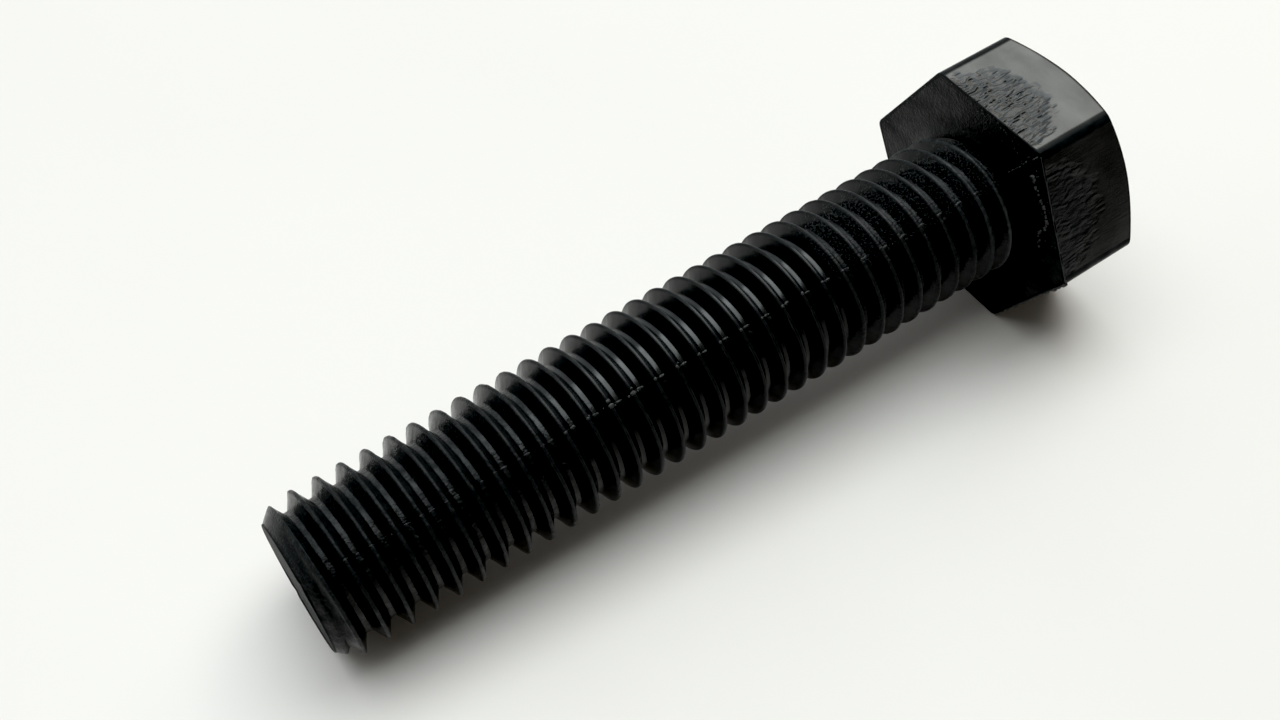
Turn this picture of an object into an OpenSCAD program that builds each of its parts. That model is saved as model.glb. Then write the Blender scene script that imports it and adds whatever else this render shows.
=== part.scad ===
// Fully threaded hex bolt, moulded in black nylon, size M8 x 40.
// Frame: the bolt lies along X with its head at +X and its point at -X. The origin is the centre of
// the bearing face under the head, and two flats of the hexagon face +Z and -Z. Millimetres.

/* [Thread] */
// Major diameter of the thread
thread_d = 8; // [5:0.5:12]
// Pitch of the right-hand thread
pitch = 1.25; // [1:0.05:1.75]
// Length from the bearing face to the point
shank_length = 40.5; // [20:0.5:80]
// Height of the rounding on each crest
crest_round = 0.1; // [0.05:0.01:0.2]
// Flat sides in one turn of the ridge
turn_sides = 24; // [12:2:36]
// Direction around the axis in which the crest reaches the bearing face
run_out_angle = 19.2; // [0:0.1:360]

/* [Head] */
// Width across the flats
across_flats = 12.85; // [8:0.05:19]
// Height of the head
head_height = 5.4; // [3:0.1:8]
// Diameter of the flat disc on the crown
crown_d = 12.6; // [8:0.1:18]
// Angle of the crown chamfer
crown_angle = 30; // [15:1:40]
// Diameter of the collar where the shank meets the bearing face
collar_d = 8.3; // [8:0.1:12]
// Thickness of that collar
collar_h = 0.2; // [0.1:0.05:0.4]

/* [Point] */
// Diameter of the flat end face
point_d = 6.6; // [4:0.1:10]

/* [Moulding marks] */
// Direction of the mould's parting plane around the axis
parting_angle = 120; // [0:1:360]
// Length of a flash nib, along the axis
nib_length = 0.4; // [0.2:0.05:0.6]
// Radius of a flash nib
nib_r = 0.08; // [0.05:0.01:0.12]
// How far a flash nib stands out of its crest
nib_out = 0.03; // [0.01:0.01:0.08]
// Thickness of the flash fin on the edge of the bearing face
fin_t = 0.06; // [0.03:0.01:0.15]
// How far that fin stands out of the flats
fin_out = 0.05; // [0.02:0.01:0.12]
// Diameter of the gate recess in the crown
gate_d = 3; // [2:0.1:4]
// Depth of the gate recess
gate_depth = 0.3; // [0.1:0.05:0.6]
// Diameter of the stub that the runner left
vestige_d = 1.3; // [0.8:0.1:1.8]
// Height of that stub
vestige_h = 0.2; // [0.1:0.05:0.5]

/* [Hidden] */

flank_slope = tan(30);                        // a flank's lean, in axial mm per radial mm
crest_r = thread_d / 2;
root_r = crest_r - 0.58 * pitch;              // flat root, a little under the basic metric profile's
pitch_r = crest_r - 0.3248 * pitch;           // where ridge and groove are equally wide
core_end = -shank_length;
ridge_end = -collar_h;                        // the ridge stops at the collar
lead_end = core_end + 2 * pitch;              // the incomplete thread at the point
run_out_start = -2 * pitch;                   // the last turns before the head
corner_r = across_flats / sqrt(3);            // from the axis to a corner of the hexagon
flat_r = across_flats / 2;
crown_drop = (corner_r - crown_d / 2) * tan(crown_angle);
cut_r = crest_r + 1;                          // larger than the thread, for cutting bodies
round_fn = 96;
nylon = [0.02, 0.021, 0.022];

// Half the ridge's axial width at a radius
function half_width(r) = pitch / 4 + (pitch_r - r) * flank_slope;

// The ridge's cross-section as [axial offset, radius], from its left root over the crest
shoulder_r = crest_r - crest_round;
section = [
    [-half_width(root_r), root_r],
    [-half_width(shoulder_r), shoulder_r],
    [0, crest_r],
    [half_width(shoulder_r), shoulder_r],
    [half_width(root_r), root_r],
];

// Axial place of the crest at a direction that counts every turn, and the direction at a place
function crest_x(angle) = pitch * (angle - run_out_angle) / 360;
function crest_angle(x) = run_out_angle + 360 * x / pitch;

// Turns a body built along Z into one along X, so that 0 degrees points along +Y
module along_x() {
    rotate([90, 0, 90]) children();
}

// A helical ridge from one axial place of its crest to another
module ridge(from_x, to_x) {
    from_step = round(crest_angle(from_x) * turn_sides / 360);
    to_step = round(crest_angle(to_x) * turn_sides / 360);
    steps = to_step - from_step;
    sides = len(section);
    points = [
        for (i = [0 : steps], s = section)
        let (angle = (from_step + i) * 360 / turn_sides)
        [crest_x(angle) + s[0], s[1] * cos(angle), s[1] * sin(angle)]
    ];
    walls = [
        for (i = [0 : steps - 1], j = [0 : sides - 1])
        let (a = i * sides + j, b = i * sides + (j + 1) % sides)
        each [[a, a + sides, b], [b, a + sides, b + sides]]
    ];
    first_cap = [for (j = [0 : sides - 1]) j];
    last_cap = [for (j = [sides - 1 : -1 : 0]) steps * sides + j];
    polyhedron(points, concat(walls, [first_cap, last_cap]));
}

// The bolt's outline at the point: an end face and a 45 degree chamfer up to the crests
module point_envelope() {
    chamfer = crest_r + nib_out - point_d / 2;
    translate([core_end, 0, 0]) along_x() rotate_extrude($fn = round_fn) polygon([
        [0, 0], [point_d / 2, 0], [point_d / 2 + chamfer, chamfer],
        [point_d / 2 + chamfer, 4 * pitch], [0, 4 * pitch],
    ]);
}

// Hexagonal prism with two flats facing +Z and -Z
module hexagon(height) {
    along_x() linear_extrude(height) circle(r = corner_r, $fn = 6);
}

// Turned outline of the head: crown disc, crown chamfer and room for the corners
module crown_envelope() {
    along_x() rotate_extrude($fn = round_fn) polygon([
        [0, -1], [corner_r + 1, -1], [corner_r + 1, head_height - crown_drop - tan(crown_angle)],
        [crown_d / 2, head_height], [0, head_height],
    ]);
}

module hex_head() {
    color(nylon) difference() {
        union() {
            intersection() {
                hexagon(head_height);
                crown_envelope();
            }
            translate([ridge_end, 0, 0]) along_x()
                cylinder(d = collar_d, h = collar_h + 1, $fn = round_fn);
        }
        translate([head_height - gate_depth, 0, 0]) along_x()
            cylinder(d = gate_d, h = gate_depth + 1, $fn = round_fn);
    }
}

module shank_core() {
    color(nylon) translate([core_end, 0, 0]) along_x()
        cylinder(r = root_r, h = ridge_end - core_end, $fn = round_fn);
}

module thread_lead_in() {
    color(nylon) intersection() {
        ridge(core_end - pitch / 8, lead_end);
        point_envelope();
    }
}

module full_thread() {
    color(nylon) ridge(lead_end, run_out_start);
}

module thread_run_out() {
    color(nylon) intersection() {
        ridge(run_out_start, ridge_end + pitch);
        translate([-4 * pitch, 0, 0]) along_x()
            cylinder(r = cut_r, h = 4 * pitch + ridge_end, $fn = round_fn);
    }
}

// One nib on every full crest, at a direction around the axis
module parting_nibs(direction) {
    first = ceil((crest_angle(lead_end) - direction) / 360);
    last = floor((crest_angle(ridge_end - nib_length) - direction) / 360);
    for (turn = [first : last])
        translate([crest_x(direction + 360 * turn) - nib_length / 2, 0, 0])
            along_x() rotate(direction) translate([crest_r + nib_out - nib_r, 0, 0])
                cylinder(r = nib_r, h = nib_length, $fn = 8);
}

module parting_nibs_front() {
    color(nylon) parting_nibs(parting_angle);
}

module parting_nibs_rear() {
    color(nylon) parting_nibs(parting_angle + 180);
}

// A fin along the bearing edge of the flat that faces a direction
module fin(direction) {
    along_x() rotate(direction) translate([flat_r, -corner_r / 2, 0])
        cube([fin_out, corner_r, fin_t]);
}

module edge_flash() {
    nub_angle = parting_angle + 60;
    color(nylon) union() {
        fin(parting_angle + 30);
        fin(parting_angle + 90);
        along_x() rotate(nub_angle) translate([corner_r - fin_out, -2 * fin_out, 0])
            cube([3 * fin_out, 4 * fin_out, 2 * fin_t]);
    }
}

module gate_vestige() {
    color(nylon) translate([head_height - gate_depth, 0, 0]) along_x()
        cylinder(d = vestige_d, h = vestige_h, $fn = round_fn);
}

hex_head();
shank_core();
thread_lead_in();
full_thread();
thread_run_out();
parting_nibs_front();
parting_nibs_rear();
edge_flash();
gate_vestige();
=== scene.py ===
"""Looks of a moulded black nylon hex bolt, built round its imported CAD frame.

The bolt lies along X with its head at +X. Shapes below are worked out in millimetres and turned
into metres when a mesh is made. Directions round the axis are in degrees from +Y towards +Z.
"""
import itertools
import math

import bmesh
import bpy
import numpy as np
from mathutils import Matrix, Vector


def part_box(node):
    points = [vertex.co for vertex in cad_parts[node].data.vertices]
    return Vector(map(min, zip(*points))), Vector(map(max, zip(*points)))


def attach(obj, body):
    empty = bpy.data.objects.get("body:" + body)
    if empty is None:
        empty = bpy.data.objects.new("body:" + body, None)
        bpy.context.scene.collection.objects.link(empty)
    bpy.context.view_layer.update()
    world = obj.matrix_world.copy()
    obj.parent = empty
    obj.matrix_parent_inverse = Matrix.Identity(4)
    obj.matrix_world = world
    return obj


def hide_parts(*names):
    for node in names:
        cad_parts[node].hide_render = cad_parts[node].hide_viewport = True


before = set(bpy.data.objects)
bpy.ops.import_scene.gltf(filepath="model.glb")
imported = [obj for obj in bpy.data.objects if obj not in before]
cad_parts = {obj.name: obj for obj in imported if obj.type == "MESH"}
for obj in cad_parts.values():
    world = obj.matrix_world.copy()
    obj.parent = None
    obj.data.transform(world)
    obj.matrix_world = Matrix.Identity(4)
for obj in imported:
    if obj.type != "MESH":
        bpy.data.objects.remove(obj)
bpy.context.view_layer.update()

MM = 0.001


# ---------------------------------------------------------------- sizes, from the frame
def node_box(node):
    """Lowest and highest corner of a CAD node, in millimetres."""
    low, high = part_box(node)
    return np.array(low) / MM, np.array(high) / MM


head_high = node_box("hex_head")[1]
shank_low = node_box("shank_core")[0]
vestige_low, vestige_high = node_box("gate_vestige")

HEAD_HEIGHT = head_high[0]
FLAT_R = head_high[2]        # from the axis to a flat of the hexagon
CORNER_R = FLAT_R / math.cos(math.radians(30))
TIP_X = shank_low[0]
CREST_R = 4.0                # the CAD crest; the moulded one below stands a little higher
PITCH = 1.25
RUN_OUT_ANGLE = 19.2         # where round the axis the crest reaches the bearing face
POINT_R = 3.3                # of the flat end face
POINT_SLOPE = 0.91           # radial rise of the chamfer at the point for each millimetre along X
CROWN_R = 6.3                # of the flat disc on the head
CROWN_SLOPE = math.tan(math.radians(30))
PARTING = 120.0              # the mould's parting plane round the axis
GATE_R = 1.5                 # of the gate recess in the crown
GATE_DEPTH = 0.3
VESTIGE_R = vestige_high[2]
AXIS = np.array([1.0, 0, 0])


# ---------------------------------------------------------------- noise and mesh helpers
LATTICE_SIZE = 64
LATTICE = np.random.default_rng(20).random((LATTICE_SIZE,) * 3)
SEED_SHIFT = (17.31, 9.77, 5.13)     # how far a seed moves the noise along each axis


def noise(x, y, z=0.0, seed=0):
    """Smooth value noise from 0 to 1 on a unit lattice."""
    places = np.broadcast_arrays(np.asarray(x, float), np.asarray(y, float), np.asarray(z, float))
    places = [c + shift * seed for c, shift in zip(places, SEED_SHIFT)]
    base = [np.floor(c).astype(int) for c in places]
    part = [c - b for c, b in zip(places, base)]
    part = [t * t * t * (t * (6 * t - 15) + 10) for t in part]
    total = np.zeros(places[0].shape)
    for corner in itertools.product((0, 1), repeat=3):
        weights = [t if step else 1 - t for t, step in zip(part, corner)]
        cell = tuple((b + step) % LATTICE_SIZE for b, step in zip(base, corner))
        total += weights[0] * weights[1] * weights[2] * LATTICE[cell]
    return total


def smooth_step(low, high, value):
    """0 below low, 1 above high, and a soft rise between them."""
    t = np.clip((value - low) / (high - low), 0, 1)
    return t * t * (3 - 2 * t)


def polar(angle, radius, x):
    """Points in millimetres at a direction round the axis, a radius and a place along X."""
    turn, radius, x = np.broadcast_arrays(np.radians(angle), radius, x)
    return np.stack([x, radius * np.cos(turn), radius * np.sin(turn)], axis=-1)


def around(direction):
    """Outward and sideways unit vectors at a direction round the axis."""
    a = math.radians(direction)
    return np.array([0, math.cos(a), math.sin(a)]), np.array([0, -math.sin(a), math.cos(a)])


def make_object(name, points, faces, material, attributes=None, sharp=None):
    """A smooth-shaded object from points in millimetres and lists of vertex numbers."""
    mesh = bpy.data.meshes.new(name)
    mesh.from_pydata((np.asarray(points) * MM).tolist(), [], [list(map(int, f)) for f in faces])
    mesh.validate()
    for key, values in (attributes or {}).items():
        layer = mesh.attributes.new(key, "FLOAT", "POINT")
        layer.data.foreach_set("value", np.asarray(values, np.float32))
    mesh.polygons.foreach_set("use_smooth", np.ones(len(mesh.polygons), bool))
    if sharp is not None:
        mesh.set_sharp_from_angle(angle=math.radians(sharp))
    mesh.materials.append(material)
    made = bpy.data.objects.new(name, mesh)
    bpy.context.scene.collection.objects.link(made)
    return made


def ring_faces(rings, count):
    """Quads between successive rings of count points each."""
    i = np.arange(rings - 1)[:, None] * count
    j = np.arange(count)[None, :]
    k = (j + 1) % count
    quads = np.stack([i + j, i + k, i + count + k, i + count + j], axis=-1)
    return quads.reshape(-1, 4).tolist()


def close_rings(faces, rings, sides):
    """Adds a fan at each end of a tube, around two last points that follow its rings."""
    start, end, final = rings * sides, rings * sides + 1, (rings - 1) * sides
    for j in range(sides):
        k = (j + 1) % sides
        faces.append([start, k, j])
        faces.append([end, final + j, final + k])


def close_tube(faces, rings, sides):
    """Adds one flat face at each end of a tube."""
    faces.append(list(range(sides))[::-1])
    faces.append([(rings - 1) * sides + k for k in range(sides)])


def blob(centre, along, across, up, size, seed, rings=6, sides=9):
    """Points and faces of a closed lumpy ellipsoid with half-sizes given along three directions."""
    points = []
    heights = np.linspace(-90, 90, rings + 1)[1:-1]
    for a in np.radians(heights):
        for b in np.radians(np.arange(sides) * 360 / sides):
            points.append([math.cos(a) * math.cos(b), math.cos(a) * math.sin(b), math.sin(a)])
    points += [[0, 0, -1], [0, 0, 1]]
    unit = np.array(points)
    lump = 0.75 + 0.5 * noise(unit[:, 0] * 1.7 + 8, unit[:, 1] * 1.7 + 8, unit[:, 2] * 1.7 + 8, seed)
    unit = np.sign(unit) * np.abs(unit) ** 0.8 * lump[:, None]
    local = unit * np.array(size)
    world = np.asarray(centre) + local @ np.array([along, across, up])
    faces = ring_faces(len(heights), sides)
    close_rings(faces, len(heights), sides)
    return world, faces


def face_outwards(points, faces):
    """The faces of one closed part, turned over if they face inwards."""
    fans = np.array([(f[0], f[k], f[k + 1]) for f in faces for k in range(1, len(f) - 1)])
    a, b, c = (points[fans[:, i]] - points.mean(axis=0) for i in range(3))
    return faces if np.sum(a * np.cross(b, c)) > 0 else [face[::-1] for face in faces]


def join_parts(parts):
    """Several closed (points, faces) as one, all facing outwards."""
    points, faces, base = [], [], 0
    for p, f in parts:
        p = np.asarray(p)
        points.append(p)
        faces += [[int(v) + base for v in face] for face in face_outwards(p, f)]
        base += len(p)
    return np.concatenate(points), faces


# ---------------------------------------------------------------- materials
class Surface:
    """A node material around one Principled shader, with helpers for procedural masks."""

    def __init__(self, name, ior=1.53):
        self.material = bpy.data.materials.new(name)
        self.material.use_nodes = True
        self.tree = self.material.node_tree
        self.shader = self.tree.nodes["Principled BSDF"]
        self.shader.inputs["IOR"].default_value = ior
        self.place = self.add("ShaderNodeTexCoord").outputs["Object"]

    def add(self, kind, **values):
        """A new node of a kind, with its properties set."""
        node = self.tree.nodes.new(kind)
        for key, value in values.items():
            setattr(node, key, value)
        return node

    def link(self, source, target):
        """Joins a socket, or writes a plain number, to a node's input."""
        if isinstance(source, (int, float)):
            target.default_value = source
        else:
            self.tree.links.new(source, target)

    def math(self, operation, a, b=0.0):
        """One calculation with two sockets or numbers."""
        node = self.add("ShaderNodeMath", operation=operation)
        self.link(a, node.inputs[0])
        self.link(b, node.inputs[1])
        return node.outputs[0]

    def grain(self, size, stretch=(1, 1, 1), detail=2.0, low=0.0, high=1.0, distortion=0.0):
        """Noise whose features measure size millimetres, mapped from low to high."""
        mapping = self.add("ShaderNodeMapping")
        mapping.inputs["Scale"].default_value = [s / (size * MM) for s in stretch]
        self.link(self.place, mapping.inputs["Vector"])
        texture = self.add("ShaderNodeTexNoise")
        texture.inputs["Scale"].default_value = 1.0
        texture.inputs["Detail"].default_value = detail
        texture.inputs["Distortion"].default_value = distortion
        self.link(mapping.outputs[0], texture.inputs["Vector"])
        spread = self.add("ShaderNodeMapRange")
        for key, value in (("From Min", 0.3), ("From Max", 0.7), ("To Min", low), ("To Max", high)):
            spread.inputs[key].default_value = value
        self.link(texture.outputs["Fac"], spread.inputs["Value"])
        return spread.outputs[0]

    def mask(self, name):
        """A value that the mesh carries at each vertex."""
        return self.add("ShaderNodeAttribute", attribute_name=name).outputs["Fac"]

    def colours(self, factor, stops):
        """Colour by factor, from (place, colour) stops."""
        ramp = self.add("ShaderNodeValToRGB")
        while len(ramp.color_ramp.elements) < len(stops):
            ramp.color_ramp.elements.new(0.5)
        for element, (place, colour) in zip(ramp.color_ramp.elements, stops):
            element.position = place
            element.color = (*colour, 1)
        self.link(factor, ramp.inputs[0])
        return ramp.outputs["Color"]

    def blend(self, factor, a, b):
        """Colour a where factor is 0 and colour b where it is 1."""
        node = self.add("ShaderNodeMix", data_type="RGBA")
        self.link(factor, node.inputs[0])
        for value, socket in ((a, node.inputs[6]), (b, node.inputs[7])):
            if isinstance(value, tuple):
                socket.default_value = (*value, 1)
            else:
                self.link(value, socket)
        return node.outputs[2]

    def bump(self, heights):
        """Bump from several (height, distance in millimetres, strength) layers, one over the other."""
        normal = None
        for height, distance, strength in heights:
            node = self.add("ShaderNodeBump")
            node.inputs["Distance"].default_value = distance * MM
            self.link(strength, node.inputs["Strength"])
            self.link(height, node.inputs["Height"])
            if normal is not None:
                self.link(normal, node.inputs["Normal"])
            normal = node.outputs[0]
        self.link(normal, self.shader.inputs["Normal"])

    def finish(self, colour, roughness):
        """The material, with its colour and roughness joined up."""
        self.link(colour, self.shader.inputs["Base Color"])
        self.link(roughness, self.shader.inputs["Roughness"])
        return self.material


# Linear colours of the nylon: its darkest, its usual one, scuffed flash, and the grey of scuffs and wear,
# which also paints the specks' glints and the painted light on the last crests
DEEP = (0.0035, 0.0038, 0.0042)
BLACK = (0.0060, 0.0068, 0.0073)
SCUFFED = (0.018, 0.0185, 0.019)
WEAR_AND_PAINTED_LIGHT_GREY = (0.027, 0.030, 0.031)
FLOOR_DARK, FLOOR_LIGHT = (0.782, 0.740, 0.720), (0.798, 0.755, 0.732)


def head_nylon():
    """Glossy and smudged on the flats, dull on the bearing face, the edges and the shaded creases."""
    s = Surface("moulded_nylon_head")
    wrinkle, bearing, edge = s.mask("wrinkle"), s.mask("bearing"), s.mask("edge")
    base = s.colours(s.grain(2.2, detail=3), [(0.0, DEEP), (1.0, BLACK)])
    scuffs = s.math("MULTIPLY", edge, s.grain(0.5, detail=5, low=0.0, high=0.5))
    mottle = s.math("MULTIPLY", bearing, s.math("POWER", s.grain(0.5, detail=5), 3.0))
    colour = s.blend(s.math("MULTIPLY", scuffs, 0.5), base, WEAR_AND_PAINTED_LIGHT_GREY)
    colour = s.blend(s.math("MULTIPLY", mottle, 0.25), colour, WEAR_AND_PAINTED_LIGHT_GREY)
    gloss = s.grain(1.3, detail=4, low=0.10, high=0.17)
    rough = s.math("ADD", gloss, s.math("MULTIPLY", wrinkle, 0.10))
    bearing_rough = s.grain(0.4, detail=4, low=0.16, high=0.30)
    rough = s.math("ADD", rough, s.math("MULTIPLY", bearing, bearing_rough))
    rough = s.math("ADD", rough, s.math("MULTIPLY", scuffs, 0.2))
    streaks = s.grain(0.16, stretch=(0.12, 1, 1), detail=3)
    s.bump([
        (streaks, 0.0012, 0.5),
        (s.grain(0.35, detail=3), 0.002, 0.35),
        (s.grain(0.22, detail=4), 0.021, s.math("MULTIPLY", bearing, 0.8)),
        (s.grain(0.09, detail=3), 0.014, s.math("MULTIPLY", bearing, 0.9)),
        (s.grain(0.09, stretch=(0.5, 1, 1), detail=3), 0.005, s.math("MULTIPLY", wrinkle, 0.7)),
    ])
    dull = s.math("ADD", s.math("MULTIPLY", bearing, 0.30), s.math("MULTIPLY", edge, 0.37))
    dull = s.math("ADD", dull, s.math("MULTIPLY", s.mask("shade"), 0.20))
    smudge = s.grain(1.5, stretch=(1, 0.5, 1), detail=4, low=0.32, high=0.45, distortion=0.4)
    level = s.math("MAXIMUM", s.math("SUBTRACT", smudge, dull), 0.04)
    s.link(level, s.shader.inputs["Specular IOR Level"])
    return s.finish(colour, rough)


def thread_nylon():
    """Satin nylon whose gloss, speckles with painted glints, and crests lightened by wear and by painted
    light follow the masks on the thread's mesh.
    """
    s = Surface("moulded_nylon_thread")
    speckled, texture = s.mask("mottle"), s.mask("texture")
    base = s.colours(s.grain(1.5, detail=3), [(0.0, DEEP), (1.0, BLACK)])
    specks_and_glints = s.math("MULTIPLY", speckled, s.grain(0.11, detail=2, low=-1.5, high=1.1))
    specks_and_glints = s.math("MAXIMUM", specks_and_glints, 0.0)              # only the noise's peaks make a dot
    # The specks are real bumps; their lighter colour is a painted highlight for the glints that they
    # catch.
    colour = s.blend(s.math("MULTIPLY", specks_and_glints, 0.85), base, WEAR_AND_PAINTED_LIGHT_GREY)
    # Lighter crests are partly wear; near the head they are painted light, standing in for the floor's
    # light bounced onto their shaded lower side.
    crest_wear_and_painted_light = s.math("MULTIPLY", s.mask("crest"), s.grain(0.25, detail=3, low=0.0, high=0.26))
    colour = s.blend(crest_wear_and_painted_light, colour, WEAR_AND_PAINTED_LIGHT_GREY)
    satin = s.grain(0.8, stretch=(2.5, 1, 1), detail=4, low=0.18, high=0.26)
    rough = s.math("ADD", satin, s.math("MULTIPLY", texture, 0.10))
    rough = s.math("ADD", rough, s.math("MULTIPLY", s.mask("end"), 0.30))
    s.bump([
        (s.grain(0.30, stretch=(2.0, 1, 1), detail=3), 0.003, 0.4),
        (s.grain(0.13, stretch=(0.6, 1, 1), detail=3), 0.027, s.math("MULTIPLY", texture, 0.8)),
        (specks_and_glints, 0.030, s.math("MULTIPLY", speckled, 0.9)),
    ])
    s.link(s.mask("gloss"), s.shader.inputs["Specular IOR Level"])
    return s.finish(colour, rough)


def flash_nylon():
    """Rough, scuffed nylon for the nibs, burrs, flash and stub."""
    s = Surface("rough_nylon_flash")
    base = s.colours(s.grain(0.2, detail=3), [(0.0, BLACK), (0.6, SCUFFED), (1.0, WEAR_AND_PAINTED_LIGHT_GREY)])
    s.bump([(s.grain(0.06, detail=3), 0.014, 0.8)])
    return s.finish(base, s.grain(0.15, detail=3, low=0.26, high=0.44))


def floor_white():
    """A pale satin table top with faint clouds."""
    s = Surface("pale_table_top", ior=1.45)
    base = s.colours(s.grain(38.0, detail=3), [(0.0, FLOOR_DARK), (1.0, FLOOR_LIGHT)])
    s.bump([(s.grain(0.8, detail=3), 0.004, 0.25)])
    return s.finish(base, s.grain(9.0, detail=4, low=0.42, high=0.50))


# ---------------------------------------------------------------- the head
EDGE_R = 0.55                # rounding of the six long edges
BEARING_EDGE_R = 0.06        # rounding of the bearing face's edge
CROWN_EDGE_R = 0.12          # rounding of the edge between a flat and the crown chamfer
FLAT_STEPS = 150             # mesh columns on a flat, columns round a corner, and rows up the side
CORNER_STEPS = 8
SIDE_STEPS = 100
BEARING_STEPS = 30
LIT_FLAT = 1                 # the flat that faces +Z has the deepest creases
OTHER_FLATS = 0.20           # depth of the creases on the others, against that flat's
CREASE_LENGTH = 3.45         # how far up a flat the creases reach
CREASE_DEPTH, FINE_DEPTH = 0.064, 0.044
DISH_DEPTH = 0.035           # how far a flat's middle has sunk
ON_CORNER = 1.3              # place along a flat that stands for its corner
FILLET = (                   # place along X and radius of the fillet under the head
    (-0.17, 3.70), (-0.16, 3.90), (-0.13, 4.02), (-0.09, 4.16), (-0.05, 4.30), (-0.02, 4.42),
)
FILLET_R = 4.52              # where the fillet meets the bearing face
HIDDEN_X = 0.3               # the disc inside the head that closes its mesh round the shank
CROWN = (                    # radius and drop below the crown, from the chamfer into the gate recess
    (CROWN_R - 0.02, 0.006), (CROWN_R - 0.10, 0.0), (5.6, 0.0), (4.8, 0.0), (3.9, 0.0), (3.0, 0.0),
    (2.2, 0.0), (GATE_R + 0.12, 0.0), (GATE_R + 0.03, 0.03), (GATE_R, 0.10),
    (GATE_R - 0.01, GATE_DEPTH - 0.08), (GATE_R - 0.06, GATE_DEPTH), (0.9, GATE_DEPTH), (0.3, GATE_DEPTH),
)


def hexagon_outline():
    """The rounded hexagon: places, outward directions, place along the flat from -1 to 1, flat number."""
    rows = []
    half = CORNER_R / 2 - EDGE_R * math.tan(math.radians(30))
    for k in range(6):
        facing = math.radians(60 * k + 30)
        out = np.array([math.cos(facing), math.sin(facing)])
        side = np.array([-out[1], out[0]])
        for t in np.linspace(-1, 1, FLAT_STEPS + 1):
            rows.append((out * FLAT_R + side * half * t, out, t, k))
        centre = out * (FLAT_R - EDGE_R) + side * half
        for step in range(1, CORNER_STEPS):
            turn = facing + math.radians(60) * step / CORNER_STEPS
            out_here = np.array([math.cos(turn), math.sin(turn)])
            rows.append((centre + out_here * EDGE_R, out_here, ON_CORNER, k))
    return [np.array(column) for column in zip(*rows)]


def wrinkles(along, number, x):
    """Depth in millimetres of the fine creases near the bearing edge of a flat, and their mask."""
    half = CORNER_R / 2
    s = along * half
    ragged = 0.40 * (noise(s / 0.5, x / 0.5, number * 7.0, 3) - 0.5)
    ragged = ragged + 0.25 * (noise(s / 0.16, x / 0.4, number * 7.0, 7) - 0.5)
    reach = ((along - 0.03) / 0.97) ** 2 + (x / CREASE_LENGTH) ** 2 + ragged
    mask = (1 - smooth_step(0.45, 1.0, reach)) * (np.abs(along) <= 1)
    bend = 0.30 * (noise(s / 0.6, x / 0.5, number * 5.0, 4) - 0.5)
    lean = 0.10 * s * x / half
    coarse = noise((s + bend + lean) / 0.18, x / 0.62, number * 3.0, 5)
    fine = noise((s + bend * 1.4 + lean) / 0.11, x / 0.42, number * 11.0, 6)
    crease = (1 - np.abs(2 * coarse - 1)) ** 1.7
    depth = CREASE_DEPTH * crease + FINE_DEPTH * fine
    deep = np.where(number == LIT_FLAT, 1.0, OTHER_FLATS)
    return depth * mask * deep, mask


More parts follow.
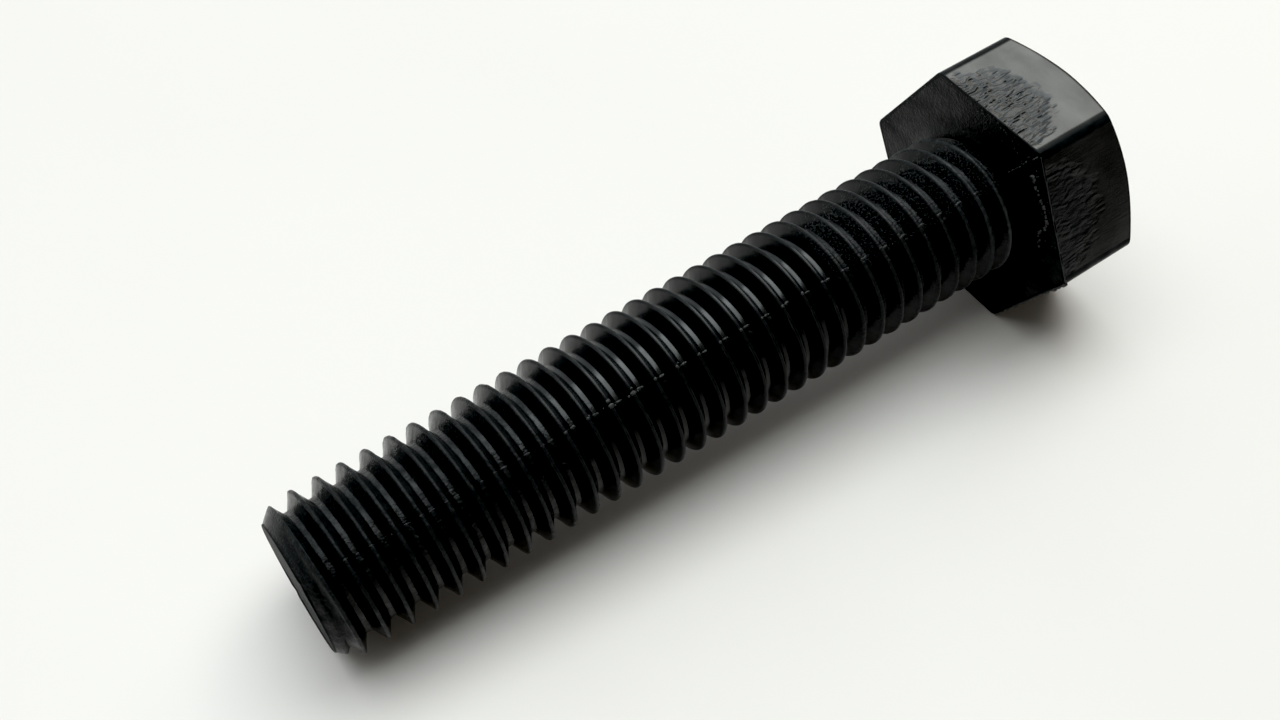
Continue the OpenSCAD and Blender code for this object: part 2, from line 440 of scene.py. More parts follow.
def build_head(material):
    """The head as rings from inside the bearing face, up the flats and over the crown."""
    places, normals, along, number = hexagon_outline()
    count = len(places)
    radius = np.hypot(places[:, 0], places[:, 1])
    direction = places / radius[:, None]
    rings, masks = [], {"wrinkle": [], "bearing": [], "edge": [], "shade": []}

    def add(x, plan, **values):
        """One more ring at a place or places along X, with the masks that aren't 0 on it."""
        rings.append(np.column_stack([np.broadcast_to(np.asarray(x, float), (count,)), plan]))
        for key, store in masks.items():
            store.append(np.broadcast_to(np.asarray(values.get(key, 0.0), float), (count,)))

    # From the hidden middle of the bearing face outwards, over a fillet in place of a sharp collar
    for r in (2.0, 3.0):
        add(HIDDEN_X, direction * r, bearing=1)
    for x, r in FILLET:
        add(x, direction * r, bearing=1)
    outline = places - normals * BEARING_EDGE_R
    for share in np.linspace(0, 1, BEARING_STEPS)[1:]:
        plan = direction * FILLET_R * (1 - share) + outline * share
        relief = 0.010 * noise(plan[:, 0] / 0.35, plan[:, 1] / 0.35, 0, 8)
        relief += 0.006 * noise(plan[:, 0] / 0.12, plan[:, 1] / 0.12, 0, 9)
        fade = smooth_step(0, 0.1, share) * (1 - smooth_step(0.93, 1, share))
        add(relief * fade, plan, bearing=1, edge=smooth_step(0.93, 1, share))
    for turn in (22.5, 45, 67.5, 90):
        a = math.radians(turn)
        plan = places - normals * (BEARING_EDGE_R * (1 - math.sin(a)))
        add(BEARING_EDGE_R * (1 - math.cos(a)), plan, bearing=1 - turn / 90, edge=1)

    # Up the side to the crown chamfer, with the creases pressed into the flats
    crown_start = HEAD_HEIGHT - (radius - CROWN_R) * CROWN_SLOPE
    top = crown_start - CROWN_EDGE_R * 0.55
    corner = np.where(np.abs(along) > 1, 1.0, smooth_step(0.955, 1.0, np.abs(along)))
    for share in np.linspace(0, 1, SIDE_STEPS)[1:]:
        x = BEARING_EDGE_R + share * (top - BEARING_EDGE_R)
        depth, mask = wrinkles(along, number, x)
        dish = DISH_DEPTH * (1 - np.clip(along, -1, 1) ** 2) * np.sin(math.pi * share) ** 2
        edge = np.maximum(corner, smooth_step(0.97, 1, share))
        plan = places - normals * (depth + dish * (np.abs(along) <= 1))[:, None]
        add(x, plan, wrinkle=mask, edge=edge, shade=mask * (number != LIT_FLAT))
    for turn in (20, 40, 60):
        a = math.radians(turn)
        inset = CROWN_EDGE_R * (1 - math.cos(a))
        add(top + CROWN_EDGE_R * math.sin(a) * 0.63, places - direction * inset, edge=1)

    # Over the crown chamfer and the crown into the gate recess
    for share in (0.25, 0.5, 0.75, 0.93):
        here = (radius - CROWN_EDGE_R * 0.5) * (1 - share) + CROWN_R * share
        add(HEAD_HEIGHT - (here - CROWN_R) * CROWN_SLOPE - 0.004, direction * here[:, None])
    for r, drop in CROWN:
        swell = 0.006 * noise(direction[:, 0] * r / 1.4 + 5, direction[:, 1] * r / 1.4 + 5, 0, 11)
        add(HEAD_HEIGHT - drop - (swell if 1.8 < r < 6.1 else 0), direction * r)
    points = np.concatenate(rings + [[[HIDDEN_X, 0, 0]], [[HEAD_HEIGHT - GATE_DEPTH, 0, 0]]])
    faces = ring_faces(len(rings), count)
    close_rings(faces, len(rings), count)
    masks = {key: np.append(np.concatenate(values), [0.0, 0.0]) for key, values in masks.items()}
    return make_object("head_shell", points, faces, material, masks, sharp=50)


# ---------------------------------------------------------------- the shank and its thread
TURN_STEPS = 180             # mesh rows in one turn
PROFILE = [                  # half a pitch, from the crest to the flat root: (axial offset, radius)
    (0.0, 4.070), (0.035, 4.067), (0.062, 4.054), (0.085, 4.028), (0.108, 3.984), (0.138, 3.914),
    (0.190, 3.804), (0.260, 3.683), (0.330, 3.562), (0.385, 3.467), (0.425, 3.397), (0.450, 3.355),
    (0.475, 3.320), (0.505, 3.299), (0.545, 3.290), (PITCH / 2, 3.288),
]
END_INSIDE_HEAD = 0.22       # where the shank's mesh is closed, inside the head
RIM_R = 0.09                 # rounding of the end face's rim
INSERT_X = -11.25            # the mould's rougher insert makes the thread from here to the head
HALF_SHIFT = 0.014           # mismatch of the mould's halves along X
LIP_DIRECTION = math.radians(245)
END_RINGS = (                # inset, share of the radius and depth: a rounded rim and a sunk middle
    (0.01, 1.0, 0.045), (0.035, 1.0, 0.012), (0.07, 1.0, 0.0), (0.10, 1.0, 0.006), (0.13, 1.0, 0.045),
    (0.16, 1.0, 0.060), (0.30, 1.0, 0.062), (0.30, 0.85, 0.066), (0.30, 0.6, 0.072), (0.30, 0.3, 0.08),
)


def crest_x(angle):
    """Place along X of the crest at a direction that counts every turn."""
    return PITCH * (angle - RUN_OUT_ANGLE) / 360


def crest_turn(x, direction):
    """How many turns the crest has made at a place along X, counted at a direction."""
    return (RUN_OUT_ANGLE + 360 * x / PITCH - direction) / 360


def thread_radius(offset):
    """Radius of the profile at an axial offset from the nearest crest."""
    table = np.array(PROFILE)
    away = np.abs((offset + PITCH / 2) % PITCH - PITCH / 2)
    return np.interp(away, table[:, 0], table[:, 1])


def tip_limit(x):
    """Largest radius that the chamfer at the point leaves."""
    rise = x - TIP_X
    return POINT_R + POINT_SLOPE * rise - 0.07 * np.exp(-rise / 0.10)


def soft_lower(a, b, blend):
    """The lower of two values, rounded off where they cross."""
    return np.minimum(a, b) - blend * np.exp(-np.abs(a - b) / blend)


def near_parting(angle, spread):
    """1 at the mould's parting plane and 0 further than spread degrees from it."""
    away = np.abs((angle - PARTING + 90) % 180 - 90)
    return 1 - smooth_step(0, spread, away)


def from_parting(angle):
    """Degrees from the parting line that the photo shows, from -180 to 180."""
    return (angle - PARTING + 180) % 360 - 180


def on_insert(x):
    """1 on the turns that the mould's rougher insert made."""
    return smooth_step(INSERT_X - 0.1, INSERT_X + 0.1, x)


def off_crest(offset):
    """0 on the rounded crest and 1 beyond it."""
    return smooth_step(0.08, 0.14, np.abs(offset))


def on_root(offset):
    """1 on the flat root and 0 beyond it."""
    return smooth_step(0.44, 0.50, np.abs(offset))


def thread_relief(angle, x, offset, radius):
    """Small real unevenness of the moulded thread in millimetres, and masks for its rougher places."""
    a = np.radians(angle)
    y, z = radius * np.cos(a), radius * np.sin(a)

    def grain(along, across, seed):
        """Noise whose features have two sizes in millimetres, along the axis and across it."""
        return noise(x / along, y / across, z / across, seed)

    slow = 0.014 * (grain(2.1, 1.6, 21) - 0.5)
    pits = 0.007 * (grain(0.30, 0.42, 22) - 0.5)
    turn = from_parting(angle)
    flank = smooth_step(0.08, 0.16, -offset) * (1 - smooth_step(0.52, 0.62, -offset))
    insert = on_insert(x)
    # Specks on the tip-facing flanks near the head; the material raises them and lightens them with a
    # painted highlight.
    speckled = insert * flank * smooth_step(-72, -55, turn) * (1 - 0.75 * smooth_step(2, 10, turn))
    near_point = 1 - smooth_step(-32.0, -22.0, x)
    texture = np.maximum(insert, 0.8 * near_point)
    bumps = 0.030 * speckled * smooth_step(0.50, 0.78, grain(0.13, 0.15, 23))
    bumps = bumps + 0.012 * texture * (grain(0.16, 0.20, 25) - 0.5)
    bumps = bumps + 0.040 * near_point * (grain(0.18, 0.34, 28) - 0.5)
    # Blobs of flash just below the parting line, a bruise on the chamfer, and the chamfer's own grain
    below = smooth_step(1, 4, turn) * (1 - smooth_step(14, 34, turn))
    bumps = bumps + 0.05 * below * smooth_step(0.72, 0.86, grain(0.24, 0.26, 24))
    bruise = np.exp(-((x - TIP_X - 0.16) / 0.10) ** 2)
    bruise = bruise * smooth_step(-28, -22, turn) * (1 - smooth_step(-12, -6, turn))
    bumps = bumps + 0.07 * bruise * (grain(0.12, 0.30, 26) - 0.5)
    cone = 1 - smooth_step(0.6, 1.0, x - TIP_X)
    bumps = bumps + 0.036 * cone * (grain(0.20, 0.35, 27) - 0.5)
    speckled = np.maximum(np.maximum(speckled, bruise), 0.45 * near_point)
    return slow + pits + bumps, speckled, texture


# Gloss by direction, in degrees from the parting line, where the crest, root and flanks reflect light
GLOSS_TURN = (-180, -90, -66, -60, -48, -36, -28, -8, 10, 24, 32, 70, 84, 180)
CREST_GLOSS = (0.10, 0.03, 0.03, 0.06, 0.12, 0.22, 0.26, 0.24, 0.22, 0.14, 0.09, 0.08, 0.05, 0.10)
ROOT_GLOSS = (0.15, 0.22, 0.22, 0.24, 0.28, 0.34, 0.50, 0.48, 0.30, 0.16, 0.14, 0.14, 0.12, 0.15)
FLANK_GLOSS = (0.06, 0.14, 0.14, 0.14, 0.14, 0.14, 0.14, 0.14, 0.10, 0.07, 0.06, 0.06, 0.06, 0.06)
END_FACE = {"gloss": 0.06, "end": 1.0}      # the end face is matt


def thread_gloss(angle, x, offset):
    """Specular level: the root is the glossiest, and the flanks and the mould's lower sides are dull."""
    turn = from_parting(angle)
    tables = (CREST_GLOSS, ROOT_GLOSS, FLANK_GLOSS)
    crest, root, flank = (np.interp(turn, GLOSS_TURN, table) for table in tables)
    near_point = 1 - smooth_step(-33.0, -22.0, x)
    crest = crest + (0.07 + 0.05 * smooth_step(-60, 0, turn) - crest) * near_point
    crest = crest + 0.18 * smooth_step(-1.2, -0.7, x) * smooth_step(10, 30, turn)
    root = root + (0.06 + 0.12 * smooth_step(-90, -50, turn) - root) * near_point
    root = root * (1 - 0.5 * on_insert(x))
    lower_side = smooth_step(10, 30, turn) * (1 - smooth_step(95, 120, turn))
    lit_flank = flank + 0.11 * lower_side * smooth_step(-14, -7, x)
    flank = np.where(offset > 0, np.minimum(flank, 0.07), lit_flank)
    level = flank + (crest - flank) * (1 - off_crest(offset)) + (root - flank) * on_root(offset)
    cone = 1 - smooth_step(0.5, 0.8, x - TIP_X)
    level = level + (0.10 - level) * cone
    a = np.radians(angle)
    blotch = noise(x / 0.22, CREST_R * np.cos(a) / 0.4, CREST_R * np.sin(a) / 0.4, 61)
    return level * (1 + (0.35 + 0.75 * near_point) * (blotch - 0.5))


def thread_grid():
    """The profile swept along the helix, with a row for each step and a column for each offset.

    Gives the steps, the directions, the places along X, the radii, the masks, and which places are
    cut off at the point and inside the head.
    """
    half = np.array(PROFILE)[:, 0]
    offsets = np.concatenate([-half[::-1], half[1:-1]])
    first = math.floor((TIP_X - PITCH) / PITCH * TURN_STEPS)
    last = math.ceil((END_INSIDE_HEAD + PITCH) / PITCH * TURN_STEPS)
    steps = np.arange(first, last + 1)
    angle, offset = np.meshgrid(RUN_OUT_ANGLE + steps * 360 / TURN_STEPS, offsets, indexing="ij")
    centre = crest_x(angle)
    x = centre + offset
    at_tip, at_head = x <= TIP_X + RIM_R, x >= END_INSIDE_HEAD
    x = np.clip(x, TIP_X + RIM_R, END_INSIDE_HEAD)
    radius = thread_radius(x - centre)
    relief, mottle, texture = thread_relief(angle, x, offset, radius)
    mould_half = smooth_step(-2, 2, (angle - PARTING + 90) % 360 - 90)
    x = np.where(at_tip | at_head, x, x + HALF_SHIFT * (mould_half - 0.5))
    limit = tip_limit(x)
    fade_in = 1 - smooth_step(0.35, 0.85, x - TIP_X)
    radius = radius + fade_in * np.maximum(limit - radius, 0) + relief * (x < 0)
    radius = soft_lower(radius, limit, 0.02)
    x = np.maximum(x, TIP_X + RIM_R)
    land = 1 - off_crest(offset) * (1 - on_root(offset))
    crest = (1 - smooth_step(0.08, 0.16, np.abs(offset))) * smooth_step(0.5, 0.8, x - TIP_X)
    # Five times as strong on the last turns by the head: painted light for the floor's bounce onto the
    # shaded lower crests, on top of wear.
    crest = crest * (1 + 4.0 * smooth_step(-4.5, -1.5, x))
    values = {"gloss": thread_gloss(angle, x, offset), "mottle": mottle, "texture": texture * land,
              "crest": crest, "end": np.zeros(x.shape)}
    return steps, angle, x, radius, values, at_tip, at_head


def build_thread(material):
    """The whole shank in one closed mesh, from the sunk end face to the end inside the head."""
    steps, angle, x, radius, values, at_tip, at_head = thread_grid()
    rows, columns = x.shape

    # One vertex for each place on the grid, but only one for each direction round either end
    points, masks = [], {key: [] for key in values}
    number = np.zeros(x.shape, int)
    rings = {"tip": {}, "head": {}}
    for i in range(rows):
        place = steps[i] % TURN_STEPS
        for j in range(columns):
            end = "tip" if at_tip[i, j] else "head" if at_head[i, j] else None
            if end and place in rings[end]:
                number[i, j] = rings[end][place]
                continue
            number[i, j] = len(points)
            if end:
                rings[end][place] = len(points)
            a = math.radians(angle[i, 0])
            points.append((x[i, j], radius[i, j] * math.cos(a), radius[i, j] * math.sin(a)))
            for key, value in values.items():
                masks[key].append(value[i, j])

    # Quads over the grid; the last column's next neighbour is the first one, a turn further on
    faces = []
    for i in range(rows - 1):
        for j in range(columns):
            if j + 1 < columns:
                beyond, column = i, j + 1
            elif i + 1 + TURN_STEPS < rows:
                beyond, column = i + TURN_STEPS, 0
            else:
                continue
            corners = [number[i, j], number[i + 1, j], number[beyond + 1, column], number[beyond, column]]
            kept = [v for k, v in enumerate(corners) if v != corners[k - 1]]
            if len(set(kept)) == len(kept) and len(kept) > 2:
                faces.append(kept)

    def add_point(x, y, z):
        """The number of one more vertex, with the masks of the end face."""
        points.append((x, y, z))
        for key, store in masks.items():
            store.append(END_FACE.get(key, 0.0))
        return len(points) - 1

    def cap(ring, levels, at_point):
        """Closes an end over rings of (inset, share of the radius, depth)."""
        previous = [ring[k] for k in range(TURN_STEPS)]
        rim = [points[v][1:] for v in previous]
        for inset, share, sink in levels:
            row = []
            for y, z in rim:
                r = math.hypot(y, z)
                here = (r - inset) * share
                level = end_level(math.atan2(z, y), inset, share, sink) if at_point else END_INSIDE_HEAD
                row.append(add_point(level, y / r * here, z / r * here))
            for k in range(TURN_STEPS):
                n = (k + 1) % TURN_STEPS
                quad = [previous[k], previous[n], row[n], row[k]]
                faces.append(quad[::-1] if at_point else quad)
            previous = row
        middle = add_point(TIP_X + levels[-1][2] if at_point else END_INSIDE_HEAD, 0, 0)
        for k in range(TURN_STEPS):
            triangle = [previous[k], previous[(k + 1) % TURN_STEPS], middle]
            faces.append(triangle[::-1] if at_point else triangle)

    cap(rings["tip"], END_RINGS, True)
    cap(rings["head"], [(0.0, 0.6, 0.0)], False)
    made = make_object("threaded_shank", points, faces, material, masks)
    drop_loose(made)
    return made


def end_level(facing, inset, share, sink):
    """Place along X on the end face: it has a raised lip on one side and nicks at the parting plane."""
    lip = 0.25 + 0.75 * smooth_step(-0.2, 0.5, math.cos(facing - LIP_DIRECTION))
    nick = near_parting(math.degrees(facing), 6) * 0.03 * (share > 0.9)
    return TIP_X + (sink * lip if inset > 0.09 else sink) + nick


def drop_loose(made):
    """Removes vertices that no face uses."""
    data = bmesh.new()
    data.from_mesh(made.data)
    bmesh.ops.delete(data, geom=[v for v in data.verts if not v.link_faces], context="VERTS")
    data.to_mesh(made.data)
    data.free()


# ---------------------------------------------------------------- moulding marks
NIB_RANGE = (TIP_X + 1.4, -0.5)      # places along X between which the crests carry nibs
NIB_HEIGHT = BURR_HEIGHT = 0.10      # the most that one stands out of the crest or the bearing face
FIN_STEPS = 150
FIN_SECTION = (              # across and up a fin, as shares of its thickness and height
    (-0.5, -0.06), (-0.4, 0.6), (0.0, 1.0), (0.5, 0.6), (0.8, -0.06),
)
FRONT_LUMPS = (              # turn, along the axis, sideways and half-size of the largest lumps of flash
    (-20, 0.00, 0.03, 0.13), (-20, -0.02, -0.24, 0.10), (-20, 0.30, 0.10, 0.06), (-20, -0.25, -0.05, 0.06),
    (-19, -0.02, 0.02, 0.12), (-19, -0.18, 0.06, 0.08), (-19, 0.42, 0.04, 0.07), (-19, 0.02, -0.22, 0.06),
    (-21, 0.10, -0.10, 0.06), (-27, 0.55, -0.31, 0.10), (-27, 0.50, -0.22, 0.05), (-32, 0.50, -0.45, 0.12),
    (-29, -0.20, 0.05, 0.05), (-32, 0.60, -0.30, 0.06), (-17, 0.30, -0.15, 0.05), (-8, 0.30, -0.12, 0.05),
    (-6, -0.30, 0.10, 0.05), (-4, 0.10, -0.20, 0.05),
)


def drape(direction, x, middle, reach, width, height, skew, seed, steps=19, sides=8):
    """Points and faces of a thin lumpy ridge of flash along the axis, middle away from the crest at x."""
    t = np.linspace(middle - reach, middle + reach, steps)
    taper = np.sqrt(np.clip(1 - ((t - middle) / reach) ** 2, 0, 1))
    lump = 0.55 + 0.9 * noise(t / 0.09 + 9, 0, 0, seed)
    wide, high = width * lump * (0.4 + 0.6 * taper), height * lump * (0.3 + 0.7 * taper)
    base = thread_radius(t) - 0.004
    turn = np.radians(np.arange(sides) * 360 / sides)
    radius = base[:, None] + high[:, None] * np.sin(turn)
    sideways = ((t - middle) * math.tan(skew))[:, None] + wide[:, None] * np.cos(turn)
    points = polar(direction + np.degrees(sideways / radius), radius, x + t[:, None])
    faces = ring_faces(steps, sides)
    close_tube(faces, steps, sides)
    return points.reshape(-1, 3), faces


def build_nibs(name, direction, material, seed, lumps=()):
    """Flash across every crest where the two halves of the mould met, with larger lumps on some turns."""
    random = np.random.default_rng(seed)
    out, side = around(direction)
    parts = []
    first, last = (crest_turn(place, direction) for place in NIB_RANGE)
    for turn in range(math.ceil(first), math.floor(last) + 1):
        x = crest_x(direction + 360 * turn)
        fade = 1 - 0.55 * smooth_step(-26.0, -33.0, x)
        for middle, half in ((0.03, 0.13), (PITCH / 2, 0.17)):
            reach = half * random.uniform(0.8, 1.15)
            width = random.uniform(0.060, 0.085) * fade
            height = random.uniform(0.026, 0.040) * fade
            skew = math.radians(random.uniform(-8, 8))
            place = direction + math.degrees(random.uniform(-0.03, 0.03) / CREST_R)
            parts.append(drape(place, x, middle, reach, width, height, skew, seed + turn + 60))
        for lump_turn, along, sideways, size in lumps:
            if lump_turn == turn:
                base = float(thread_radius(np.array(along))) - 0.02
                spot = out * base + AXIS * (x + along) + side * sideways
                lump_size = (size * 1.25, size * 0.8, size * 0.7)
                parts.append(blob(spot, AXIS, side, out, lump_size, seed + turn + 30))
    points, faces = join_parts(parts)
    points = keep_low(points, CREST_R + NIB_HEIGHT)
    return make_object(name, points, faces, material)


def keep_low(points, limit):
    """Points with those beyond a radius pulled back to it."""
    radius = np.hypot(points[:, 1], points[:, 2])
    scale = np.minimum(1, limit / np.maximum(radius, 1e-6))
    return np.column_stack([points[:, 0], points[:, 1] * scale, points[:, 2] * scale])


def fin(direction, seed, height, gaps):
    """A ragged fin along the bearing edge of one flat, as a closed strip."""
    out, side = around(direction)
    half = CORNER_R / 2 - EDGE_R * 0.3
    t = np.linspace(-half, half, FIN_STEPS)
    rise = height * (0.25 + 0.75 * noise(t / 0.22 + 9, 0, 0, seed)) * (noise(t / 0.9, 4, 0, seed) > gaps)
    rise = np.maximum(rise * smooth_step(0, 0.3, half - np.abs(t)), 0.004)
    thick = 0.040 + 0.035 * noise(t / 0.3, 7, 0, seed)
    base_x = BEARING_EDGE_R * 0.30
    rows = []
    for dx, lift in FIN_SECTION:
        rows.append(AXIS * (base_x + thick * dx)[:, None] + side * t[:, None]
                    + out * (FLAT_R - 0.03 + np.where(lift > 0, rise * lift, lift))[:, None])
    points = np.stack(rows, axis=1).reshape(-1, 3)
    points[:, 0] = np.maximum(points[:, 0], 0.002)
    faces = ring_faces(FIN_STEPS, len(rows))
    close_tube(faces, FIN_STEPS, len(rows))
    return points, faces


EDGE_LUMPS = ((-0.92, 0.14), (-0.78, 0.11), (-0.66, 0.13), (-0.47, 0.10))     # place and half-size


def build_edge_flash(material):
    """Flash on the bearing edges beside the parting plane, and a nub at the corner between them."""
    parts = [fin(PARTING + 30, 31, 0.075, 0.25), fin(PARTING + 90, 32, 0.120, 0.35)]
    out, side = around(PARTING + 60)
    random = np.random.default_rng(33)
    for k in range(5):
        spot = out * (CORNER_R - 0.12 - 0.05 * k * random.random()) + side * random.uniform(-0.2, 0.2)
        spot = spot + AXIS * (0.07 + 0.05 * random.random())
        size = random.uniform(0.06, 0.11)
        parts.append(blob(spot, AXIS, side, out, (size * 0.6, size, size), 40 + k))
    out, side = around(PARTING + 90)
    for k in range(9):
        spot = out * (FLAT_R - 0.02) + side * (CORNER_R / 2) * random.uniform(-0.9, 0.9) + AXIS * 0.07
        size = random.uniform(0.05, 0.09)
        parts.append(blob(spot, AXIS, side, out, (size, size * 2.2, size), 50 + k))
    for k, (along, size) in enumerate(EDGE_LUMPS):
        spot = out * FLAT_R + side * (CORNER_R / 2) * along + AXIS * 0.10
        parts.append(blob(spot, AXIS, side, out, (size * 0.7, size * 1.7, size), 62 + k))
    points, faces = join_parts(parts)
    return make_object("edge_flash_rough", points, faces, material)


DASHES = (                   # radius, direction, half-length and half-width of the radial burrs
    (4.45, 118.9, 0.16, 0.035), (4.78, 119.2, 0.14, 0.045), (5.12, 119.5, 0.16, 0.030),
    (5.45, 119.8, 0.10, 0.040), (5.85, 119.6, 0.08, 0.030), (6.12, 119.4, 0.10, 0.040),
    (6.75, 120.2, 0.16, 0.045), (7.02, 120.3, 0.12, 0.050),
)
ARC = (                      # radius, direction and half-size of the broken arc of burrs
    (5.98, 127.7, 0.110), (5.90, 129.6, 0.050), (5.86, 133.0, 0.060), (5.95, 134.6, 0.030),
    (5.88, 136.8, 0.045), (5.88, 140.1, 0.060), (5.90, 141.6, 0.035), (5.94, 143.8, 0.070),
    (5.95, 146.2, 0.045), (5.93, 148.8, 0.065), (5.93, 151.6, 0.075), (5.84, 153.6, 0.045),
    (5.71, 156.2, 0.065), (5.40, 158.6, 0.040), (5.26, 160.2, 0.055), (5.22, 163.0, 0.030),
    (5.30, 165.2, 0.040), (5.20, 167.4, 0.030), (5.27, 169.7, 0.045),
)
SMALL = {"rings": 4, "sides": 6}


def edge_radius(direction):
    """Radius of the hexagon at a direction."""
    return FLAT_R / math.cos(math.radians((direction % 60) - 30))


def face_burr(radius, direction, size, seed, radial=False, **mesh):
    """A lump on the bearing face, long sideways or radially, with its half-sizes and height."""
    out, side = around(direction)
    along, across = (out, side) if radial else (side, out)
    return blob(out * radius + AXIS * 0.02, along, across, -AXIS, size, seed, **mesh)


def build_face_burrs(material):
    """Burrs on the bearing face: a radial dash at the parting plane, a broken arc and specks."""
    random = np.random.default_rng(44)
    parts = []
    for k, (radius, direction, length, width) in enumerate(DASHES):
        parts.append(face_burr(radius, direction, (length, width, 0.065), 10 + k, radial=True))
    for k, (radius, direction, size) in enumerate(ARC):
        half_sizes = (size * 1.9, size * 1.7, 0.07 + size * 0.7)
        parts.append(face_burr(radius, direction, half_sizes, 70 + k))
    for k in range(40):
        direction = PARTING + random.uniform(-20, 46)
        radius = random.uniform(5.5, min(edge_radius(direction) - 0.15, 7.0))
        size = random.uniform(0.018, 0.040)
        parts.append(face_burr(radius, direction, (size, size, 0.045), 120 + k, **SMALL))
    for k in range(60):
        direction = random.uniform(-5, 112)
        radius = edge_radius(direction) - 0.10 - abs(random.normal(0, 0.28))
        size = random.uniform(0.015, 0.038)
        parts.append(face_burr(radius, direction, (size * 1.5, size, 0.04), 200 + k, **SMALL))
    points, faces = join_parts(parts)
    points[:, 0] = np.maximum(points[:, 0], -BURR_HEIGHT)
    return make_object("bearing_face_burrs", points, faces, material)


STUB_SIDES = 40
STUB = ((0.0, 1.04), (0.15, 1.0), (0.55, 0.98), (0.85, 0.95), (0.97, 0.84), (1.0, 0.6), (0.92, 0.3))


def build_vestige(material):
    """The stub that the runner left in the crown's gate recess, torn off unevenly."""
    low, high = vestige_low[0], vestige_high[0]
    rows = []
    turn = np.arange(STUB_SIDES) * 360 / STUB_SIDES
    a = np.radians(turn)
    for share, radius in STUB:
        ragged = noise(np.cos(a) * 2 * radius + 6, np.sin(a) * 2 * radius + 6, 0, 61)
        torn = 1 - (0.30 * ragged * (share > 0.8))
        rows.append(polar(turn, VESTIGE_R * radius * (0.97 + 0.03 * noise(turn / 40, 0, 0, 62)),
                          low + (high - low) * share * torn))
    points = np.concatenate(rows + [[[low, 0, 0]], [[low + (high - low) * 0.7, 0, 0]]])
    faces = ring_faces(len(rows), STUB_SIDES)
    close_rings(faces, len(rows), STUB_SIDES)
    return make_object("gate_stub", points, faces, material, sharp=40)


# ---------------------------------------------------------------- the object
head_material, thread_material, flash_material = head_nylon(), thread_nylon(), flash_nylon()
CORE_NODES = ("shank_core", "thread_lead_in", "full_thread", "thread_run_out")
PIECES = [
    (build_head(head_material), ("hex_head",), "nylon_head"),
    (build_thread(thread_material), CORE_NODES, "nylon_thread"),
    (build_nibs("nibs_front", PARTING, flash_material, 5, FRONT_LUMPS),
     ("parting_nibs_front",), "nylon_flash"),
    (build_nibs("nibs_rear", PARTING + 180, flash_material, 6),
     ("parting_nibs_rear",), "nylon_flash"),
    (build_edge_flash(flash_material), ("edge_flash",), "nylon_flash"),
    (build_face_burrs(flash_material), (), "nylon_flash"),
    (build_vestige(flash_material), ("gate_vestige",), "nylon_flash"),
]
for piece, nodes, slot in PIECES:
    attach(piece, "root")
    if nodes:
        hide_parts(*nodes)
for node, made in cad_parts.items():
    made.data.materials.clear()
    made.data.materials.append(head_material if node == "hex_head" else thread_material)


# ---------------------------------------------------------------- floor, light and camera
WARM_TINT, COOL_TINT = (1.0, 0.93, 0.78, 1), (0.92, 0.985, 1.0, 1)      # of the room's two sides
FLOOR_SIZE, FLOOR_STEPS = 1600.0, 8
FLOOR_GAP = 0.01             # between the head's lowest flat and the floor
FLOOR_SLOPE = -0.0612        # the floor's height falls away towards the head
BLACK_POINT = 0.006          # of the view's curve, to deepen the darkest tones
LENS, SENSOR = 39.136, 36.0
CAMERA_PLACE = (-43.24, -33.19, 56.24)
RIGHT, UP, FORWARD = (0.8208, -0.5707, -0.0227), (0.4710, 0.6539, 0.5921), (0.3231, 0.4967, -0.8055)


def build_floor(material):
    """A pale table top that the head's lower edge and the last thread rest on."""
    grid = np.linspace(-FLOOR_SIZE, FLOOR_SIZE, FLOOR_STEPS + 1)
    points = [(x, y, -FLAT_R - FLOOR_GAP + FLOOR_SLOPE * x) for x in grid for y in grid]
    row = FLOOR_STEPS + 1
    starts = [i * row + j for i in range(FLOOR_STEPS) for j in range(FLOOR_STEPS)]
    faces = [[v, v + row, v + row + 1, v + 1] for v in starts]
    made = make_object("table_top", points, faces, material)


def soft_light(name, direction, lean, distance, width, height, radiance, colour):
    """A rectangular light aimed at the bolt, at a direction round the axis and a lean towards +X.

    The distance, width and height are in metres.
    """
    a, b = math.radians(direction), math.radians(lean)
    way = Vector((math.sin(b), math.cos(b) * math.cos(a), math.cos(b) * math.sin(a)))
    data = bpy.data.lights.new(name, "AREA")
    data.shape = "RECTANGLE"
    data.size, data.size_y = width, height
    data.energy = radiance * math.pi * width * height
    data.color = colour
    made = bpy.data.objects.new(name, data)
    made.location = Vector((TIP_X * MM / 2, 0, 0)) + way * distance
    turn = Matrix.Identity(3)
    x_side = Vector((math.cos(b), -math.sin(b) * math.cos(a), -math.sin(b) * math.sin(a)))
    y_side = way.cross(x_side)
    turn.col[0], turn.col[1], turn.col[2] = x_side, y_side, way
    made.matrix_world = Matrix.Translation(made.location) @ turn.to_4x4()
    bpy.context.scene.collection.objects.link(made)


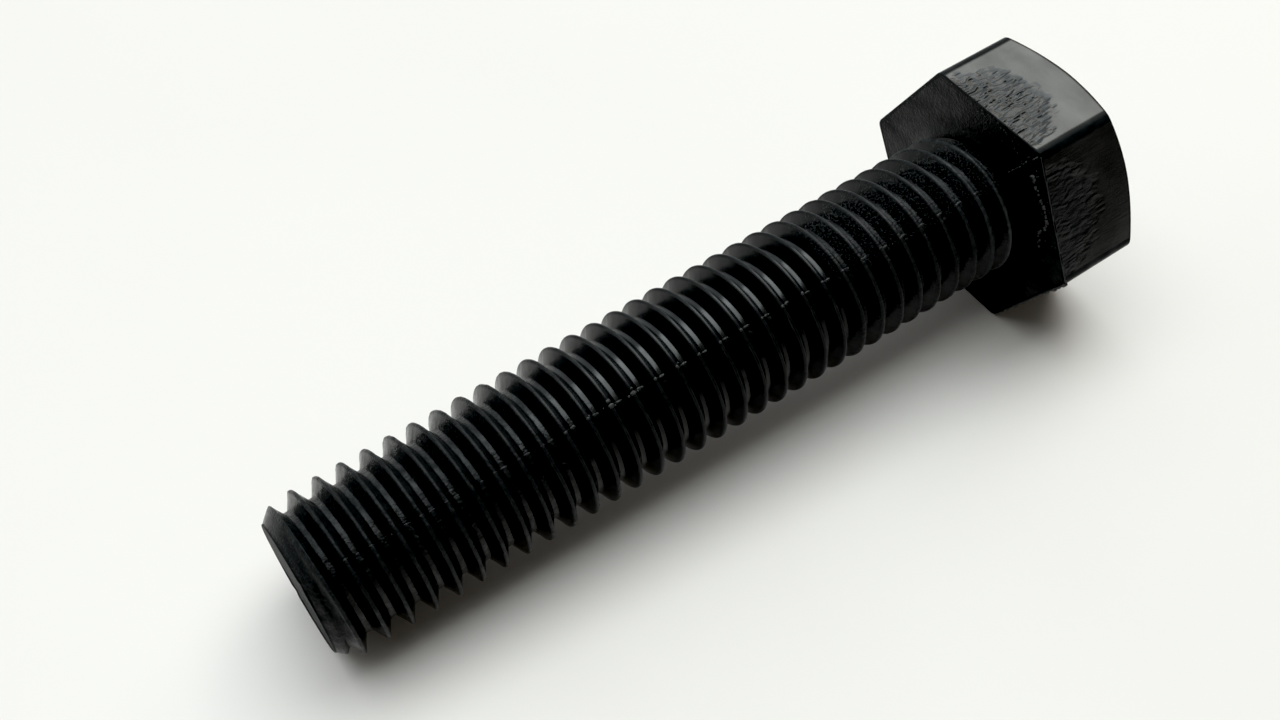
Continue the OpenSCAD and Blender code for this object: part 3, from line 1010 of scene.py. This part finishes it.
def studio_world():
    """A room that is dim on the -Y side, brighter on the +Y side and a little brighter towards -X."""
    world = bpy.data.worlds.new("studio")
    bpy.context.scene.world = world
    world.use_nodes = True
    tree = world.node_tree
    background = tree.nodes["Background"]
    place = tree.nodes.new("ShaderNodeTexCoord")
    split = tree.nodes.new("ShaderNodeSeparateXYZ")
    tree.links.new(place.outputs["Generated"], split.inputs[0])

    def ramp(socket, low, high, start, end):
        """A soft change from start to end, between two heights of one axis of the view direction."""
        node = tree.nodes.new("ShaderNodeMapRange")
        node.interpolation_type = "SMOOTHSTEP"
        for name, value in (("From Min", low), ("From Max", high), ("To Min", start), ("To Max", end)):
            node.inputs[name].default_value = value
        tree.links.new(split.outputs[socket], node.inputs["Value"])
        return node.outputs[0]

    def add(a, b):
        """The sum of two sockets."""
        node = tree.nodes.new("ShaderNodeMath")
        node.operation = "ADD"
        tree.links.new(a, node.inputs[0])
        tree.links.new(b, node.inputs[1])
        return node.outputs[0]

    across = ramp("Y", -0.10, 0.75, 0.08, 1.08)
    towards_point = ramp("X", -0.95, -0.45, 0.10, 0.0)
    low_side = ramp("Y", -0.98, -0.70, 0.06, 0.0)
    tree.links.new(add(add(across, towards_point), low_side), background.inputs["Strength"])
    tint = tree.nodes.new("ShaderNodeMix")
    tint.data_type = "RGBA"
    tint.inputs[6].default_value = WARM_TINT
    tint.inputs[7].default_value = COOL_TINT
    tree.links.new(ramp("Y", -0.5, 0.3, 0.0, 1.0), tint.inputs[0])
    tree.links.new(tint.outputs[2], background.inputs["Color"])


def place_camera():
    """The camera where a perspective fit to the thread and head puts it."""
    data = bpy.data.cameras.new("camera")
    data.sensor_width, data.lens = SENSOR, LENS
    data.clip_start, data.clip_end = 0.005, 10.0
    made = bpy.data.objects.new("camera", data)
    bpy.context.scene.collection.objects.link(made)
    aim = Matrix.Identity(3)
    aim.col[0], aim.col[1], aim.col[2] = Vector(RIGHT), Vector(UP), -Vector(FORWARD)
    made.matrix_world = Matrix.Translation(Vector(CAMERA_PLACE) * MM) @ aim.to_4x4()
    bpy.context.scene.camera = made


def set_view():
    """A plain view transform with slightly deepened blacks."""
    view = bpy.context.scene.view_settings
    view.view_transform = "Standard"
    view.use_curve_mapping = True
    view.curve_mapping.black_level = (BLACK_POINT,) * 3
    view.curve_mapping.update()


build_floor(floor_white())
soft_light("overhead_softbox", direction=78.5, lean=7, distance=0.6, width=0.89, height=0.52,
           radiance=2.96, colour=(0.915, 0.990, 0.985))
soft_light("warm_side_light", direction=62, lean=51, distance=0.9, width=0.48, height=0.42,
           radiance=1.5, colour=(1.0, 0.91, 0.74))
studio_world()
place_camera()
set_view()
